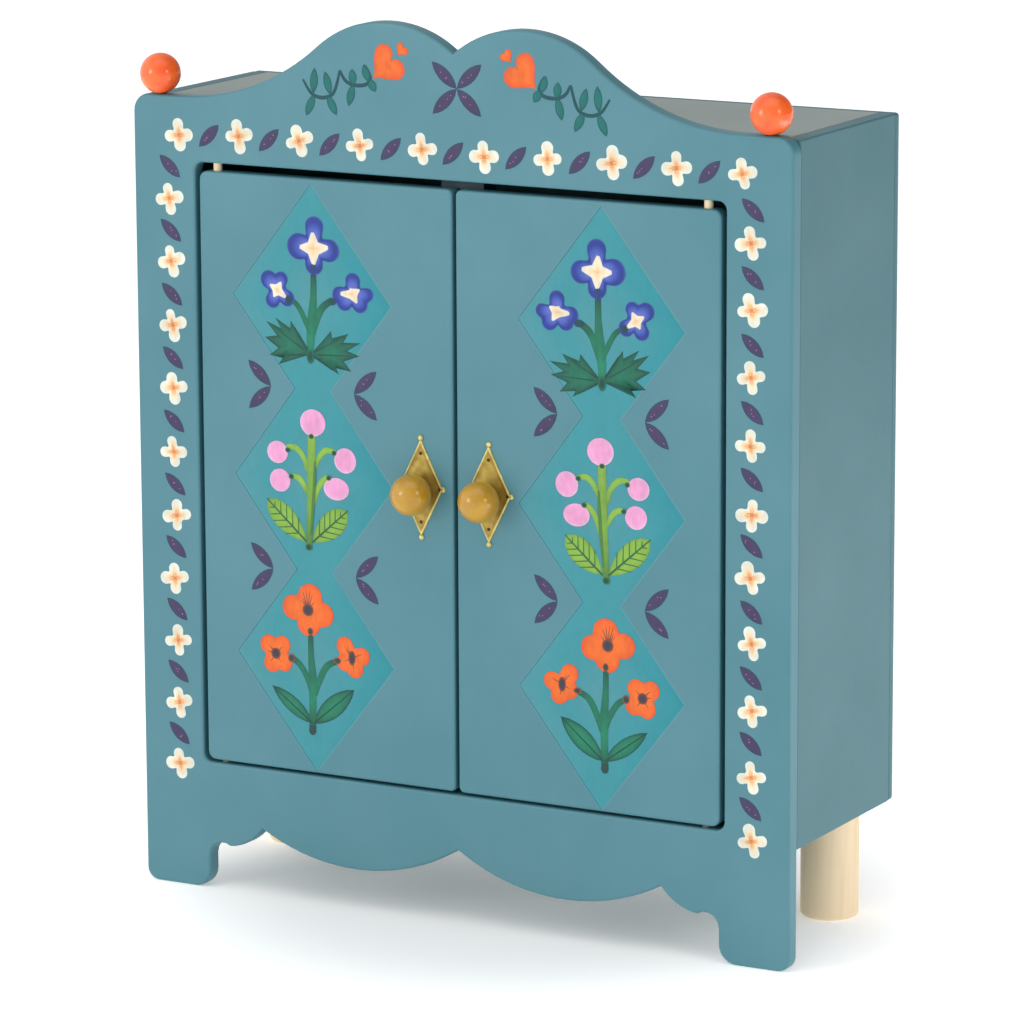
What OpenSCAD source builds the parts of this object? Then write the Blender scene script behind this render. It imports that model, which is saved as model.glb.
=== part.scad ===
// Miniature wardrobe for a dolls' house: a small box on two round back legs, closed at the front by
// one shaped board with two doors in it. The doors turn on wooden pins.
// Millimetres. X is to the right, Y is to the back and Z is up. The feet stand on Z = 0.

/* [Cabinet] */
// Width of the front board
cabinet_w = 250; // [225:1:275]
// Height of the front board at its corners
shoulder_h = 277.6; // [255:0.1:300]
// Depth of the side panels
side_d = 72; // [60:0.5:90]
// Thickness of the front board and the doors
front_t = 6; // [4:0.5:8]
// Thickness of the side and top panels
panel_t = 6; // [4:0.5:8]
// Thickness of the bottom panel
floor_t = 5; // [4:0.5:6]
// Thickness of the back panel
back_t = 3.6; // [3:0.1:5]
// Height of the underside of the box above the floor
box_bottom = 40.5; // [36:0.5:45]
// Height of the top of the box
box_top = 276.2; // [250:0.1:300]

/* [Doorway] */
// Width of the opening in the front board
opening_w = 201.6; // [190:0.2:210]
// Lower edge of the opening
opening_bottom = 45.5; // [44:0.5:50]
// Upper edge of the opening
opening_top = 255.3; // [245:0.1:262]

/* [Doors] */
// Gap between a door and the frame at its hinge side
side_gap = 1.7; // [1.3:0.1:2.5]
// Half of the gap between the two doors
meeting_gap = 0.65; // [0.6:0.01:1.5]
// Gap over the doors
top_gap = 2.8; // [1.5:0.1:3.5]
// Gap under the doors
bottom_gap = 1; // [0.6:0.1:2]
// Distance from the middle of the wardrobe to the axis of a door pin
pin_x = 93.2; // [92:0.1:94]
// Diameter of a door pin
pin_d = 3; // [2.5:0.1:3]
// Radial room of a pin in the frame
pin_clearance = 0.06; // [0.02:0.01:0.1]

/* [Trim] */
// Diameter of a knob
knob_d = 14; // [12:0.5:16]
// Diameter of an orange ball on a shoulder
finial_d = 14; // [12:0.5:16]
// Diameter of a back leg
leg_d = 20; // [16:0.5:22]
// Diameter of the clothes rail
rail_d = 6; // [5:0.5:8]

/* [Hidden] */
$fn = 64;
eps = 0.01;
knob_reach = 14.3;                  // from the face of a door to the front of its knob
total_d = knob_reach + front_t + side_d + back_t;
face_y = knob_reach - total_d / 2;  // the front face of the board
frame_back_y = face_y + front_t;
side_back_y = frame_back_y + side_d;
rear_y = side_back_y + back_t;
side_inset = 0.3;                   // the box is this much narrower than the board, each side
side_x = cabinet_w / 2 - side_inset;
inner_x = side_x - panel_t;

// The top of the front board: two humps, each running out to a shoulder in a hollow curve
hump_x = 25.8;
hump_r = 41;
hump_z = 265.9;
hollow_x = 106;
hollow_r = ((hollow_x - hump_x) ^ 2 + (shoulder_h - hump_z) ^ 2 - hump_r ^ 2)
         / (2 * (hump_r - (shoulder_h - hump_z)));
share = hump_r / (hump_r + hollow_r);
turn_x = hump_x + share * (hollow_x - hump_x);
turn_z = hump_z + share * (shoulder_h + hollow_r - hump_z);

// The bottom of the front board: two long scallops, two short ones and two bracket feet
foot_in_x = 98.8;
scallop = [40.7, 89, 75];           // x, z and radius
end_scallop = [93, 35.2, 19.5];

door_out_x = opening_w / 2 - side_gap;
door_bottom = opening_bottom + bottom_gap;
door_top = opening_top - top_gap;
pin_y = face_y + front_t / 2;
pin_grip = 12;                      // length of a pin inside the door
pin_reach = 6;                      // length of a pin inside the frame
bore_depth = 8;

plate_x = 13;                       // middle of a diamond plate
plate_z = 150.7;
plate_t = 0.8;
plate_w = 19;
plate_h = 36;
knob_z = 149.4;
knob_y = face_y + knob_d / 2 - knob_reach;
nail_d = 0.8;

finial_x = 115.6;
finial_y = face_y + front_t / 2;
finial_z = shoulder_h + finial_d / 2 - 0.15;
leg_x = 106;
leg_y = rear_y - leg_d / 2 - 0.5;
rail_y = (frame_back_y + side_back_y) / 2;
rail_z = 236;
rail_bite = 3;

// A flat shape drawn in X and Z, made t thick from y backwards
module board(y, t) {
    translate([0, y + t, 0])
        rotate([90, 0, 0])
            linear_extrude(t)
                children();
}

// A round bar along Y
module bar_y(x, y, z, d, length) {
    translate([x, y, z])
        rotate([-90, 0, 0])
            cylinder(d = d, h = length);
}

// A round bar along X
module bar_x(x, y, z, d, length) {
    translate([x, y, z])
        rotate([0, 90, 0])
            cylinder(d = d, h = length);
}

// What is cut away to round an outside corner whose tip is at the origin and lies toward +X and +Z
module corner_waste(r) {
    difference() {
        translate([-r, -r])
            square([r + 1, r + 1]);
        translate([-r, -r])
            circle(r);
    }
}

// A rectangle with one radius at its low-X corners and another at its high-X corners
module rounded_rect(x0, x1, z0, z1, r0, r1) {
    difference() {
        translate([x0, z0])
            square([x1 - x0, z1 - z0]);
        translate([x1, z1])
            corner_waste(r1);
        translate([x1, z0])
            mirror([0, 1])
                corner_waste(r1);
        translate([x0, z1])
            mirror([1, 0])
                corner_waste(r0);
        translate([x0, z0])
            rotate(180)
                corner_waste(r0);
    }
}

// Right half of the pediment, above the shoulder
module hump() {
    translate([hump_x, hump_z])
        circle(hump_r);
    difference() {
        polygon([[hump_x, shoulder_h - 10], [hollow_x, shoulder_h - 10], [hollow_x, shoulder_h],
                 [turn_x, turn_z], [hump_x, hump_z]]);
        translate([hollow_x, shoulder_h + hollow_r])
            circle(hollow_r, $fn = 96);
    }
}

// The space under the right half of the board, between the middle and the foot
module under_half() {
    difference() {
        translate([-1, -1])
            square([foot_in_x + 1, 32]);
        translate([scallop[0], scallop[1]])
            circle(scallop[2], $fn = 96);
        translate([-scallop[0], scallop[1]])
            circle(scallop[2], $fn = 96);
        translate([end_scallop[0], end_scallop[1]])
            circle(end_scallop[2]);
        translate([foot_in_x, 16.8])
            corner_waste(5);
    }
    // the rounded inner toe of the foot
    translate([foot_in_x, 0])
        rotate(180)
            corner_waste(6.5);
}

module frame_outline() {
    difference() {
        union() {
            translate([-cabinet_w / 2, 0])
                square([cabinet_w, shoulder_h]);
            hump();
            mirror([1, 0])
                hump();
        }
        for (side = [0, 1])
            mirror([side, 0]) {
                under_half();
                translate([cabinet_w / 2, shoulder_h])
                    corner_waste(6);
                translate([cabinet_w / 2, 0])
                    mirror([0, 1])
                        corner_waste(4.5);
            }
        rounded_rect(-opening_w / 2, opening_w / 2, opening_bottom, opening_top, 3, 3);
    }
}

// Dowels that hold the front board to the front edges of the box
module dowels_into_frame(d) {
    for (side = [-1, 1], z = [70, 160, 250])
        bar_y(side * (side_x - panel_t / 2), frame_back_y - 3, z, d, 10);
    for (x = [-60, 60])
        bar_y(x, frame_back_y - 3, box_top - panel_t / 2, d, 10);
    for (x = [-60, 60])
        bar_y(x, frame_back_y - 3, box_bottom + floor_t / 2, d, 10);
}

// Dowels that hold the top and bottom panels between the sides
module dowels_into_sides(d) {
    for (side = [0, 1])
        mirror([side, 0, 0])
            for (y = [frame_back_y + 18, side_back_y - 18])
                for (z = [box_top - panel_t / 2, box_bottom + floor_t / 2])
                    bar_x(inner_x - 8, y, z, d, 12);
}

// Panel pins through the back panel: a thin nail with a flat head
module pins_through_back(extra) {
    for (x = [-80, 0, 80], z = [box_bottom + floor_t / 2, box_top - panel_t / 2])
        back_pin(x, z, extra);
    for (x = [-side_x + panel_t / 2, side_x - panel_t / 2], z = [80, 158, 236])
        back_pin(x, z, extra);
}

module back_pin(x, z, extra) {
    bar_y(x, rear_y - 9, z, 1, 9 - 0.5);
    bar_y(x, rear_y - 0.5, z, 2.4, 0.5 + extra);
}

module leg_screw_at(x, extra) {
    translate([x, leg_y, box_bottom - 18])
        cylinder(d = 2.6, h = 18 + floor_t - 2 + eps);
    translate([x, leg_y, box_bottom + floor_t - 2])
        cylinder(d1 = 2.6, d2 = 5.6, h = 1.5);
    translate([x, leg_y, box_bottom + floor_t - 0.5])
        cylinder(d = 5.6, h = 0.5 + extra);
}

module rail_shape() {
    bar_x(-inner_x - rail_bite, rail_y, rail_z, rail_d, 2 * (inner_x + rail_bite));
}

module finial_dowel_at(x) {
    translate([x, finial_y, shoulder_h - 7])
        cylinder(d = 2.5, h = 12);
}

module front_frame() {
    color([0.40, 0.60, 0.65])
        difference() {
            board(face_y, front_t)
                frame_outline();
            for (side = [-1, 1]) {
                translate([side * pin_x, pin_y, opening_top - 1])
                    cylinder(r = pin_d / 2 + pin_clearance, h = bore_depth + 1);
                translate([side * pin_x, pin_y, opening_bottom - bore_depth])
                    cylinder(r = pin_d / 2 + pin_clearance, h = bore_depth + 1);
                finial_dowel_at(side * finial_x);
            }
            dowels_into_frame(3);
        }
}

// The side panel at +X
module side_panel() {
    difference() {
        translate([inner_x, frame_back_y, box_bottom])
            cube([panel_t, side_d, box_top - box_bottom]);
        dowels_into_frame(3);
        dowels_into_sides(3);
        pins_through_back(0);
        rail_shape();
    }
}

module side_panel_right() {
    color([0.33, 0.50, 0.53])
        side_panel();
}

module side_panel_left() {
    color([0.33, 0.50, 0.53])
        mirror([1, 0, 0])
            side_panel();
}

module top_panel() {
    color([0.52, 0.60, 0.62])
        difference() {
            translate([-inner_x, frame_back_y, box_top - panel_t])
                cube([2 * inner_x, side_d, panel_t]);
            dowels_into_frame(3);
            dowels_into_sides(3);
            pins_through_back(0);
        }
}

module bottom_panel() {
    color([0.40, 0.55, 0.58])
        difference() {
            translate([-inner_x, frame_back_y, box_bottom])
                cube([2 * inner_x, side_d, floor_t]);
            dowels_into_frame(3);
            dowels_into_sides(3);
            pins_through_back(0);
            for (side = [-1, 1])
                leg_screw_at(side * leg_x, 1);
        }
}

module back_panel() {
    color([0.45, 0.55, 0.57])
        difference() {
            translate([-side_x, side_back_y, box_bottom])
                cube([2 * side_x, back_t, box_top - box_bottom]);
            pins_through_back(1);
        }
}

module frame_dowels() {
    color([0.82, 0.72, 0.55])
        dowels_into_frame(3);
}

module carcass_dowels() {
    color([0.82, 0.72, 0.55])
        dowels_into_sides(3);
}

module back_panel_pins() {
    color([0.60, 0.60, 0.62])
        pins_through_back(0);
}

module rear_leg(x) {
    color([0.83, 0.74, 0.58])
        difference() {
            rotate_about_leg(x)
                polygon([[0, 0], [leg_d / 2 - 1, 0], [leg_d / 2, 1], [leg_d / 2, box_bottom],
                         [0, box_bottom]]);
            leg_screw_at(x, 1);
        }
}

module rotate_about_leg(x) {
    translate([x, leg_y, 0])
        rotate_extrude()
            children();
}

module rear_leg_left() {
    rear_leg(-leg_x);
}

module rear_leg_right() {
    rear_leg(leg_x);
}

module leg_screws() {
    color([0.62, 0.62, 0.60])
        for (side = [-1, 1])
            leg_screw_at(side * leg_x, 0);
}

module finial(x) {
    color([0.95, 0.38, 0.16])
        difference() {
            translate([x, finial_y, finial_z])
                sphere(d = finial_d);
            translate([x - 10, finial_y - 10, shoulder_h - 10])
                cube([20, 20, 10]);
            finial_dowel_at(x);
        }
}

module finial_left() {
    finial(-finial_x);
}

module finial_right() {
    finial(finial_x);
}

module finial_dowels() {
    color([0.82, 0.72, 0.55])
        for (side = [-1, 1])
            finial_dowel_at(side * finial_x);
}

module clothes_rail() {
    color([0.83, 0.74, 0.58])
        rail_shape();
}

// The bar magnet behind the meeting edges of the doors
module catch_magnet() {
    color([0.35, 0.36, 0.38])
        translate([-6, frame_back_y + 0.5, 246])
            cube([12, 3, 4]);
}

// The block that the doors shut against, glued under the top panel
module door_stop() {
    color([0.36, 0.46, 0.48])
        difference() {
            translate([-8, frame_back_y + 0.5, 243])
                cube([16, 8, box_top - panel_t - 243]);
            translate([-6, frame_back_y + 0.5 - eps, 246])
                cube([12, 3 + eps, 4]);
        }
}

// Everything that is let into the left door, cut from it
module door_cuts() {
    for (end = [[door_top - pin_grip, 1], [door_bottom - 1, 1]])
        translate([-pin_x, pin_y, end[0]])
            cylinder(d = pin_d, h = pin_grip + 1);
    knob_screw_shape(1);
    nails_shape();
    keeper_shape(1);
}

module door_shape() {
    difference() {
        board(face_y, front_t)
            rounded_rect(-door_out_x, -meeting_gap, door_bottom, door_top, 3, 2);
        door_cuts();
    }
}

module knob_screw_shape(extra) {
    bar_y(-plate_x, knob_y - 1, knob_z, 2, frame_back_y - knob_y + 1);
    bar_y(-plate_x, frame_back_y - 0.8, knob_z, 4.4, 0.8 + extra);
}

// Small round-headed nails in the four points of a diamond plate
module nails_shape() {
    for (p = nail_places()) {
        bar_y(p[0], face_y - plate_t, p[1], nail_d, 4);
        bar_y(p[0], face_y - plate_t - 0.3, p[1], 1.3, 0.3);
    }
}

function nail_places() = [
    [-plate_x, plate_z + plate_h / 2 - 6.2], [-plate_x, plate_z - plate_h / 2 + 6.2],
    [-plate_x - plate_w / 2 + 2.2, plate_z], [-plate_x + plate_w / 2 - 2.2, plate_z]];

function plate_tips() = [
    [-plate_x, plate_z + plate_h / 2 - 1], [-plate_x, plate_z - plate_h / 2 + 1],
    [-plate_x - plate_w / 2 + 1, plate_z], [-plate_x + plate_w / 2 - 1, plate_z]];

module keeper_shape(extra) {
    bar_y(-meeting_gap - 3.2, frame_back_y - 1, 248, 3.6, 1 + extra);
}

module knob_shape() {
    difference() {
        translate([-plate_x, knob_y, knob_z])
            sphere(d = knob_d);
        translate([-plate_x - 10, face_y - plate_t, knob_z - 10])
            cube([20, 10, 20]);
        knob_screw_shape(0);
    }
}

module escutcheon_shape() {
    difference() {
        union() {
            board(face_y - plate_t, plate_t)
                polygon([[-plate_x, plate_z + plate_h / 2 - 1], [-plate_x + plate_w / 2 - 1, plate_z],
                         [-plate_x, plate_z - plate_h / 2 + 1], [-plate_x - plate_w / 2 + 1, plate_z]]);
            for (p = plate_tips())
                bar_y(p[0], face_y - plate_t, p[1], 2, plate_t);
        }
        bar_y(-plate_x, face_y - 3, knob_z, 2, 4);
        for (p = nail_places())
            bar_y(p[0], face_y - 3, p[1], nail_d, 4);
    }
}

// A pivot pin whose lower end is at z
module pivot_pin(x, z) {
    color([0.86, 0.78, 0.62])
        translate([x, pin_y, z])
            cylinder(d = pin_d, h = pin_grip + top_gap_or_bottom(z) + pin_reach);
}

function top_gap_or_bottom(z) = z > shoulder_h / 2 ? top_gap : bottom_gap;

module door_left() {
    color([0.40, 0.60, 0.65])
        door_shape();
}

module door_right() {
    color([0.40, 0.60, 0.65])
        mirror([1, 0, 0])
            door_shape();
}

module pivot_pin_left_top() {
    pivot_pin(-pin_x, door_top - pin_grip);
}

module pivot_pin_left_bottom() {
    pivot_pin(-pin_x, opening_bottom - pin_reach);
}

module pivot_pin_right_top() {
    pivot_pin(pin_x, door_top - pin_grip);
}

module pivot_pin_right_bottom() {
    pivot_pin(pin_x, opening_bottom - pin_reach);
}

module knob_left() {
    color([0.74, 0.56, 0.20])
        knob_shape();
}

module knob_right() {
    color([0.74, 0.56, 0.20])
        mirror([1, 0, 0])
            knob_shape();
}

module knob_screw_left() {
    color([0.62, 0.62, 0.60])
        knob_screw_shape(0);
}

module knob_screw_right() {
    color([0.62, 0.62, 0.60])
        mirror([1, 0, 0])
            knob_screw_shape(0);
}

module escutcheon_left() {
    color([0.66, 0.57, 0.20])
        escutcheon_shape();
}

module escutcheon_right() {
    color([0.66, 0.57, 0.20])
        mirror([1, 0, 0])
            escutcheon_shape();
}

module escutcheon_nails_left() {
    color([0.60, 0.50, 0.20])
        nails_shape();
}

module escutcheon_nails_right() {
    color([0.60, 0.50, 0.20])
        mirror([1, 0, 0])
            nails_shape();
}

module keeper_left() {
    color([0.62, 0.62, 0.60])
        keeper_shape(0);
}

module keeper_right() {
    color([0.62, 0.62, 0.60])
        mirror([1, 0, 0])
            keeper_shape(0);
}

front_frame();
side_panel_left();
side_panel_right();
top_panel();
bottom_panel();
back_panel();
frame_dowels();
carcass_dowels();
back_panel_pins();
rear_leg_left();
rear_leg_right();
leg_screws();
finial_left();
finial_right();
finial_dowels();
clothes_rail();
door_stop();
catch_magnet();
door_left();
door_right();
pivot_pin_left_top();
pivot_pin_left_bottom();
pivot_pin_right_top();
pivot_pin_right_bottom();
knob_left();
knob_right();
knob_screw_left();
knob_screw_right();
escutcheon_left();
escutcheon_right();
escutcheon_nails_left();
escutcheon_nails_right();
keeper_left();
keeper_right();
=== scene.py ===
import bmesh
import bpy
import math
import random
from mathutils import Matrix, Vector


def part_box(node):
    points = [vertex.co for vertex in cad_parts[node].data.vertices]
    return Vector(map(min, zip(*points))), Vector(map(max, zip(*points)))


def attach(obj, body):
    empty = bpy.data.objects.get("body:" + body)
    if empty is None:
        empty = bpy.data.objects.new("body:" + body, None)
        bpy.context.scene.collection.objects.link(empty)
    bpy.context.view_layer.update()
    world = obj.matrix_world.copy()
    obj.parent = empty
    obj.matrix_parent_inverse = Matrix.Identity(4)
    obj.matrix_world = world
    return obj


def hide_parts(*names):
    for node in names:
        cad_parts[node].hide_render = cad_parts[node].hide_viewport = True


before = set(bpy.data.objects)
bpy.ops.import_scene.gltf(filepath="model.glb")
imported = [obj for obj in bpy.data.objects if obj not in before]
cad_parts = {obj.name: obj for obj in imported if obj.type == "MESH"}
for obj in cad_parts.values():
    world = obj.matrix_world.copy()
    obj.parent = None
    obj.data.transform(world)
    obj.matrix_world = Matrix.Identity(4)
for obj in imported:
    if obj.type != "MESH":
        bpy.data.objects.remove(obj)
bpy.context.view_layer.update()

MM = 0.001
scene = bpy.context.scene
scene.view_settings.view_transform = "Standard"


def box_mm(node):
    """The low and high corners of a CAD node's box, in millimetres."""
    return [[c / MM for c in corner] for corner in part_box(node)]


board_lo, board_hi = box_mm("front_frame")
plate_lo, plate_hi = box_mm("escutcheon_left")
FACE_Y = board_lo[1]
BACK_Y = board_hi[1]
HALF_W = board_hi[0]
PANEL_X = 55.2            # middle of the painted chain of lozenges on each door
PEDIMENT_X = 0.6          # middle of the painted vines and hearts on the pediment
HAIR = 0.04               # how far a hidden fixing's head stands proud of the panel it is let into
SIDES = (("left", False), ("right", True))   # each side's name, and whether its painting is mirrored


def srgb(r, g, b):
    """A screen colour, 0 to 255, as the linear colour that the shaders take."""
    return tuple(((c / 255 + 0.055) / 1.055) ** 2.4 for c in (r, g, b)) + (1.0,)


def mix(a, b, t):
    """The colour a share t of the way from a to b."""
    return tuple(p + (q - p) * t for p, q in zip(a, b))


# ---------------------------------------------------------------- materials

class Look:
    """A material in the making: its shader, and patterns laid over the object's own coordinates."""

    def __init__(self, name):
        self.material = bpy.data.materials.new(name)
        self.material.use_nodes = True
        self.nodes = self.material.node_tree.nodes
        self.link = self.material.node_tree.links.new
        self.shader = self.nodes["Principled BSDF"]
        self.coords = self.nodes.new("ShaderNodeTexCoord")

    def set(self, socket, value):
        """A value that is the same all over the surface."""
        self.shader.inputs[socket].default_value = value

    def noise(self, scale, detail, stretch=(1, 1, 1)):
        """Noise in cells per metre, drawn out along the axes whose stretch is below 1."""
        mapping = self.nodes.new("ShaderNodeMapping")
        mapping.inputs["Scale"].default_value = stretch
        noise = self.nodes.new("ShaderNodeTexNoise")
        noise.inputs["Scale"].default_value = scale
        noise.inputs["Detail"].default_value = detail
        self.link(self.coords.outputs["Object"], mapping.inputs["Vector"])
        self.link(mapping.outputs["Vector"], noise.inputs["Vector"])
        return noise.outputs["Fac"]

    def ramp(self, source, low, high, start=0.35, end=0.65):
        """Two colours spread over a pattern."""
        ramp = self.nodes.new("ShaderNodeValToRGB")
        ramp.color_ramp.elements[0].position = start
        ramp.color_ramp.elements[0].color = low
        ramp.color_ramp.elements[1].position = end
        ramp.color_ramp.elements[1].color = high
        self.link(source, ramp.inputs["Fac"])
        return ramp.outputs["Color"]

    def stored(self):
        """The colour stored on the mesh."""
        paint = self.nodes.new("ShaderNodeVertexColor")
        paint.layer_name = "paint"
        return paint.outputs["Color"]

    def blend(self, kind, factor, *colours):
        """Two colours put together."""
        node = self.nodes.new("ShaderNodeMix")
        node.data_type = "RGBA"
        node.blend_type = kind
        node.inputs["Factor"].default_value = factor
        sockets = [s for s in node.inputs if s.type == "RGBA"]
        for colour, socket in zip(colours, sockets):
            self.link(colour, socket)
        return [s for s in node.outputs if s.type == "RGBA"][0]

    def colour(self, source):
        self.link(source, self.shader.inputs["Base Color"])

    def bump(self, source, strength, distance):
        """Relief from a pattern, its distance in millimetres."""
        bump = self.nodes.new("ShaderNodeBump")
        bump.inputs["Strength"].default_value = strength
        bump.inputs["Distance"].default_value = distance * MM
        self.link(source, bump.inputs["Height"])
        self.link(bump.outputs["Normal"], self.shader.inputs["Normal"])

    def spread(self, source, low, high, socket):
        """A shader value that follows a pattern between a low and a high one."""
        spread = self.nodes.new("ShaderNodeMapRange")
        spread.inputs["To Min"].default_value = low
        spread.inputs["To Max"].default_value = high
        self.link(source, spread.inputs["Value"])
        self.link(spread.outputs["Result"], self.shader.inputs[socket])
        return spread


def wood_paint(name, colour, roughness):
    """Brushed-on satin paint: soft clouds of shade, fine upright brush marks and a little tooth."""
    look = Look(name)
    strokes = look.noise(300, 4, (1, 1, 0.3))
    tooth = look.noise(1400, 2)
    shade = look.ramp(look.noise(22, 3), mix(colour, (0, 0, 0, 1), 0.06), mix(colour, (1, 1, 1, 1), 0.015),
                      0.3, 0.7)
    marks = look.ramp(strokes, (0.985, 0.985, 0.985, 1), (1, 1, 1, 1))
    look.colour(look.blend("MULTIPLY", 1.0, shade, marks))
    look.set("Specular IOR Level", 0.4)
    look.spread(tooth, roughness - 0.06, roughness + 0.08, "Roughness")
    look.bump(strokes, 0.12, 0.05)
    return look.material


def artist_paint(name, depth=1.0):
    """Hand-painted decoration: the colour stored on the mesh, broken up by brush marks of a depth."""
    look = Look(name)
    strokes = look.noise(700, 4, (1, 1, 0.45))
    patches = look.noise(160, 2)
    low, high = [(c, c, c, 1) for c in (1 - 0.1 * depth, 1 + 0.05 * depth)]
    marked = look.blend("MULTIPLY", 1.0, look.stored(), look.ramp(strokes, low, high, 0.3, 0.7))
    look.colour(look.blend("MULTIPLY", 1.0, marked, look.ramp(patches, low, high, 0.3, 0.7)))
    look.set("Specular IOR Level", 0.35)
    look.spread(patches, 0.42, 0.58, "Roughness")
    look.bump(strokes, 0.3 * depth, 0.1)
    return look.material


def bare_wood(name, pale, dark, along="Z"):
    """Sanded birch: long narrow streaks of grain with fine pores."""
    look = Look(name)
    stretch = {"Z": (1, 1, 0.07), "X": (0.07, 1, 1)}[along]
    grain = look.noise(420, 5, stretch)
    bands = look.noise(110, 2, stretch)
    streak = look.ramp(grain, dark, pale, 0.36, 0.58)
    look.colour(look.blend("MIX", 0.5, streak, look.ramp(bands, mix(pale, dark, 0.55), pale, 0.3, 0.7)))
    look.set("Specular IOR Level", 0.3)
    look.spread(grain, 0.52, 0.68, "Roughness")
    look.bump(grain, 0.3, 0.08)
    return look.material


def lacquer(name, colour, deep, roughness, coat):
    """Paint on a turned ball: brushed unevenly, so deeper in places, under a smooth coat."""
    look = Look(name)
    clouds = look.noise(150, 3)
    look.colour(look.ramp(clouds, deep, colour, 0.36, 0.62))
    look.set("Coat Weight", coat)
    look.set("Coat Roughness", 0.12)
    look.spread(look.noise(900, 2), roughness - 0.04, roughness + 0.06, "Roughness")
    look.bump(clouds, 0.12, 0.15)
    return look.material


def pressed_brass(name):
    """Old brass sheet: dull and brown in its field, rubbed bright where the mesh says so."""
    look = Look(name)
    scratches = look.noise(1600, 3, (1, 1, 0.2))
    stain = look.ramp(look.noise(420, 4), (0.72, 0.66, 0.55, 1), (1.05, 1.05, 1.05, 1), 0.32, 0.66)
    look.colour(look.blend("MULTIPLY", 1.0, look.stored(), stain))
    look.set("Metallic", 0.55)
    look.spread(scratches, 0.3, 0.48, "Roughness")
    look.bump(scratches, 0.2, 0.04)
    return look.material


def plain_metal(name, colour, roughness, metallic):
    """The small hidden fittings: an even colour with fine scratches."""
    look = Look(name)
    scratches = look.noise(1500, 3)
    look.colour(look.ramp(scratches, mix(colour, (0, 0, 0, 1), 0.2), colour))
    look.set("Metallic", metallic)
    look.spread(scratches, roughness - 0.08, roughness + 0.08, "Roughness")
    return look.material


TEAL = srgb(72, 127, 139)
# the sides and back: the front's teal made darker, a painted shade for the weaker light they get
SHADED_SIDE_TEAL = srgb(68, 114, 123)
front_paint = wood_paint("front_paint", TEAL, 0.4)
side_paint = wood_paint("side_paint", SHADED_SIDE_TEAL, 0.5)
top_paint = wood_paint("top_paint", srgb(142, 155, 152), 0.48)
inside_paint = wood_paint("inside_paint", srgb(88, 126, 134), 0.55)
# the door stop: the carcass teal made dark grey, a painted shade for the dark gap it sits in
shaded_stop_paint = wood_paint("shaded_stop_paint", srgb(48, 70, 78), 0.55)
decoration = artist_paint("decoration")
field_paint = artist_paint("field_paint", 0.35)
birch = bare_wood("birch", srgb(240, 218, 184), srgb(228, 203, 166))
birch_across = bare_wood("birch_across", srgb(228, 210, 178), srgb(208, 186, 150), "X")
orange = lacquer("orange", srgb(250, 108, 36), srgb(244, 88, 26), 0.22, 0.3)
mustard = lacquer("mustard", srgb(188, 142, 14), srgb(176, 128, 6), 0.3, 0.5)
# the lower pivot pins: the birch made dark, a painted shade that keeps them dark in the narrow bottom gap
shaded_pin_wood = bare_wood("shaded_pin_wood", srgb(118, 108, 90), srgb(92, 84, 70))
brass = pressed_brass("brass")
steel = plain_metal("steel", srgb(176, 176, 172), 0.35, 1.0)
ferrite = plain_metal("ferrite", srgb(74, 74, 78), 0.55, 0.0)


# ---------------------------------------------------------------- building meshes

def add_piece(name, mesh, material, body, stands_for=()):
    """A visible piece that moves with a body and may stand for CAD nodes."""
    obj = bpy.data.objects.new(name, mesh)
    scene.collection.objects.link(obj)
    mesh.materials.clear()
    mesh.materials.append(material)
    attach(obj, body)
    if stands_for:
        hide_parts(*stands_for)
    return obj


def smooth(obj, angle=40):
    """Smooth shading that stays flat on the big faces."""
    mesh = obj.data
    for poly in mesh.polygons:
        poly.use_smooth = True
    mesh.set_sharp_from_angle(angle=math.radians(angle))
    weighted = obj.modifiers.new("weighted", "WEIGHTED_NORMAL")
    weighted.keep_sharp = True


def arc(cx, cz, r, start, end, steps):
    """Points on an arc, in degrees, both ends included."""
    out = []
    for i in range(steps + 1):
        a = math.radians(start + (end - start) * i / steps)
        out.append((cx + r * math.cos(a), cz + r * math.sin(a)))
    return out


def board_mesh(name, loops, front_y, thickness, rounding):
    """A flat board from outlines in X and Z, with every edge rounded. The first outline is the
    outside and the others are holes in it."""
    curve = bpy.data.curves.new(name, "CURVE")
    curve.dimensions = "2D"
    curve.fill_mode = "BOTH"
    curve.extrude = (thickness / 2 - rounding) * MM
    curve.bevel_depth = rounding * MM
    curve.bevel_resolution = 3
    curve.offset = -rounding * MM
    for loop in loops:
        spline = curve.splines.new("POLY")
        spline.points.add(len(loop) - 1)
        for point, (x, z) in zip(spline.points, loop):
            point.co = (x * MM, z * MM, 0, 1)
        spline.use_cyclic_u = True
    holder = bpy.data.objects.new(name + "_outline", curve)
    scene.collection.objects.link(holder)
    bpy.context.view_layer.update()
    evaluated = holder.evaluated_get(bpy.context.evaluated_depsgraph_get())
    mesh = bpy.data.meshes.new_from_object(evaluated)
    bpy.data.objects.remove(holder)
    bpy.data.curves.remove(curve)
    # the curve's plane is laid upright, its front towards -Y
    turn = Matrix(((1, 0, 0, 0), (0, 0, -1, (front_y + thickness / 2) * MM), (0, 1, 0, 0), (0, 0, 0, 1)))
    mesh.transform(turn)
    merge_close(mesh)
    mesh.name = name
    return mesh


def merge_close(mesh, distance=1e-7):
    """Joins points that coincide and turns every face outwards."""
    bm = bmesh.new()
    bm.from_mesh(mesh)
    bmesh.ops.remove_doubles(bm, verts=bm.verts, dist=distance)
    bmesh.ops.recalc_face_normals(bm, faces=bm.faces)
    bm.to_mesh(mesh)
    bm.free()


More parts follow.
